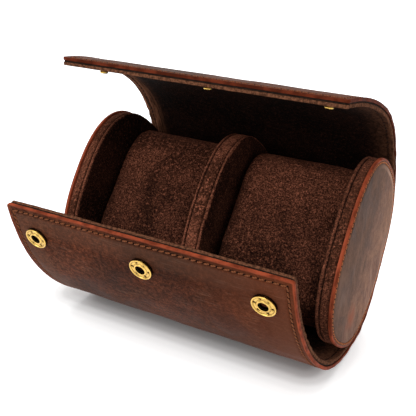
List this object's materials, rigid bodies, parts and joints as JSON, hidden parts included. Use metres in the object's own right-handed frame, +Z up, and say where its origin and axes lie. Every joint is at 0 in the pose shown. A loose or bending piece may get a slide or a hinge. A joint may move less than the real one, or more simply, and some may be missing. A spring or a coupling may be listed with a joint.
{
  "type": "watch travel case",
  "caption": "Leather roll with oval ends holds two watches on loose suede cushions; its lined flap wraps over the top and snaps shut in front.",
  "frame": {"origin": "the point on the table under the middle of the end caps, on the flat stretch of the wrap", "axes": "X runs along the roll, Y to the back, Z up"},
  "size_m": [0.17, 0.1519, 0.1569],
  "materials": {
    "leather": "waxed pull-up leather, satin",
    "suede": "brushed suede, matte",
    "board": "bonded fibre board",
    "foam": "dense foam",
    "brass": "antique brass, polished"
  },
  "bodies": {
    "root": {"leather_back": "leather", "board_back": "board", "lining_back": "suede", "cap_leather_left": "leather", "cap_leather_right": "leather", "cap_board_left": "board", "cap_board_right": "board", "cap_band_left": "suede", "cap_band_right": "suede", "cap_foam_left": "foam", "cap_foam_right": "foam", "cap_suede_left": "suede", "cap_suede_right": "suede", "divider_band": "suede", "divider_foam": "foam", "divider_suede_left": "suede", "divider_suede_right": "suede"},
    "front_lower": {"leather_front_lower": "leather", "board_front_lower": "board", "lining_front_lower": "suede"},
    "front_middle": {"leather_front_middle": "leather", "board_front_middle": "board", "lining_front_middle": "suede"},
    "front_lip": {"leather_front_lip": "leather", "board_front_lip": "board", "lining_front_lip": "suede", "snap_sockets": "brass", "snap_springs": "brass", "snap_eyelets": "brass"},
    "cover_lower": {"leather_cover_lower": "leather", "board_cover_lower": "board", "lining_cover_lower": "suede"},
    "cover_middle": {"leather_cover_middle": "leather", "board_cover_middle": "board", "lining_cover_middle": "suede"},
    "cover_lip": {"leather_cover_lip": "leather", "board_cover_lip": "board", "lining_cover_lip": "suede", "snap_studs": "brass", "snap_posts": "brass"},
    "cushion_left": {"cushion_cover_left": "suede", "cushion_foam_left": "foam"},
    "cushion_right": {"cushion_cover_right": "suede", "cushion_foam_right": "foam"}
  },
  "joints": [
    {"name": "front_flap", "type": "hinge", "parent": "root", "child": "front_lower", "pos_m": [0, -0.00976, 0.0046], "axis": [-1, 0, 0], "range_deg": [-5, 14.42]},
    {"name": "front_bend_middle", "type": "hinge", "parent": "front_lower", "child": "front_middle", "pos_m": [0, -0.05819, 0.02731], "axis": [-1, 0, 0], "range_deg": [-8.07, 23.27]},
    {"name": "front_bend_lip", "type": "hinge", "parent": "front_middle", "child": "front_lip", "pos_m": [0, -0.074, 0.04661], "axis": [-1, 0, 0], "range_deg": [-7.66, 22.07]},
    {"name": "cover_flap", "type": "hinge", "parent": "root", "child": "cover_lower", "pos_m": [0, 0.04839, 0.08535], "axis": [1, 0, 0], "range_deg": [-12, 24.81]},
    {"name": "cover_bend_middle", "type": "hinge", "parent": "cover_lower", "child": "cover_middle", "pos_m": [0, 0.02525, 0.12596], "axis": [1, 0, 0], "range_deg": [-7.52, 15.54]},
    {"name": "cover_bend_lip", "type": "hinge", "parent": "cover_middle", "child": "cover_lip", "pos_m": [0, -0.01389, 0.14579], "axis": [1, 0, 0], "range_deg": [-10.61, 21.93]},
    {"name": "cushion_left_lift", "type": "slide", "parent": "root", "child": "cushion_left", "axis": [0, -0.7314, 0.682], "range_m": [0, 0.012]},
    {"name": "cushion_right_lift", "type": "slide", "parent": "root", "child": "cushion_right", "axis": [0, -0.7314, 0.682], "range_m": [0, 0.012]}
  ],
  "couplings": [
    {"joint": "front_bend_middle", "follows": "front_flap", "ratio": 1.6129},
    {"joint": "front_bend_lip", "follows": "front_flap", "ratio": 1.5297},
    {"joint": "cover_bend_middle", "follows": "cover_flap", "ratio": 0.6259},
    {"joint": "cover_bend_lip", "follows": "cover_flap", "ratio": 0.8833}
  ]
}
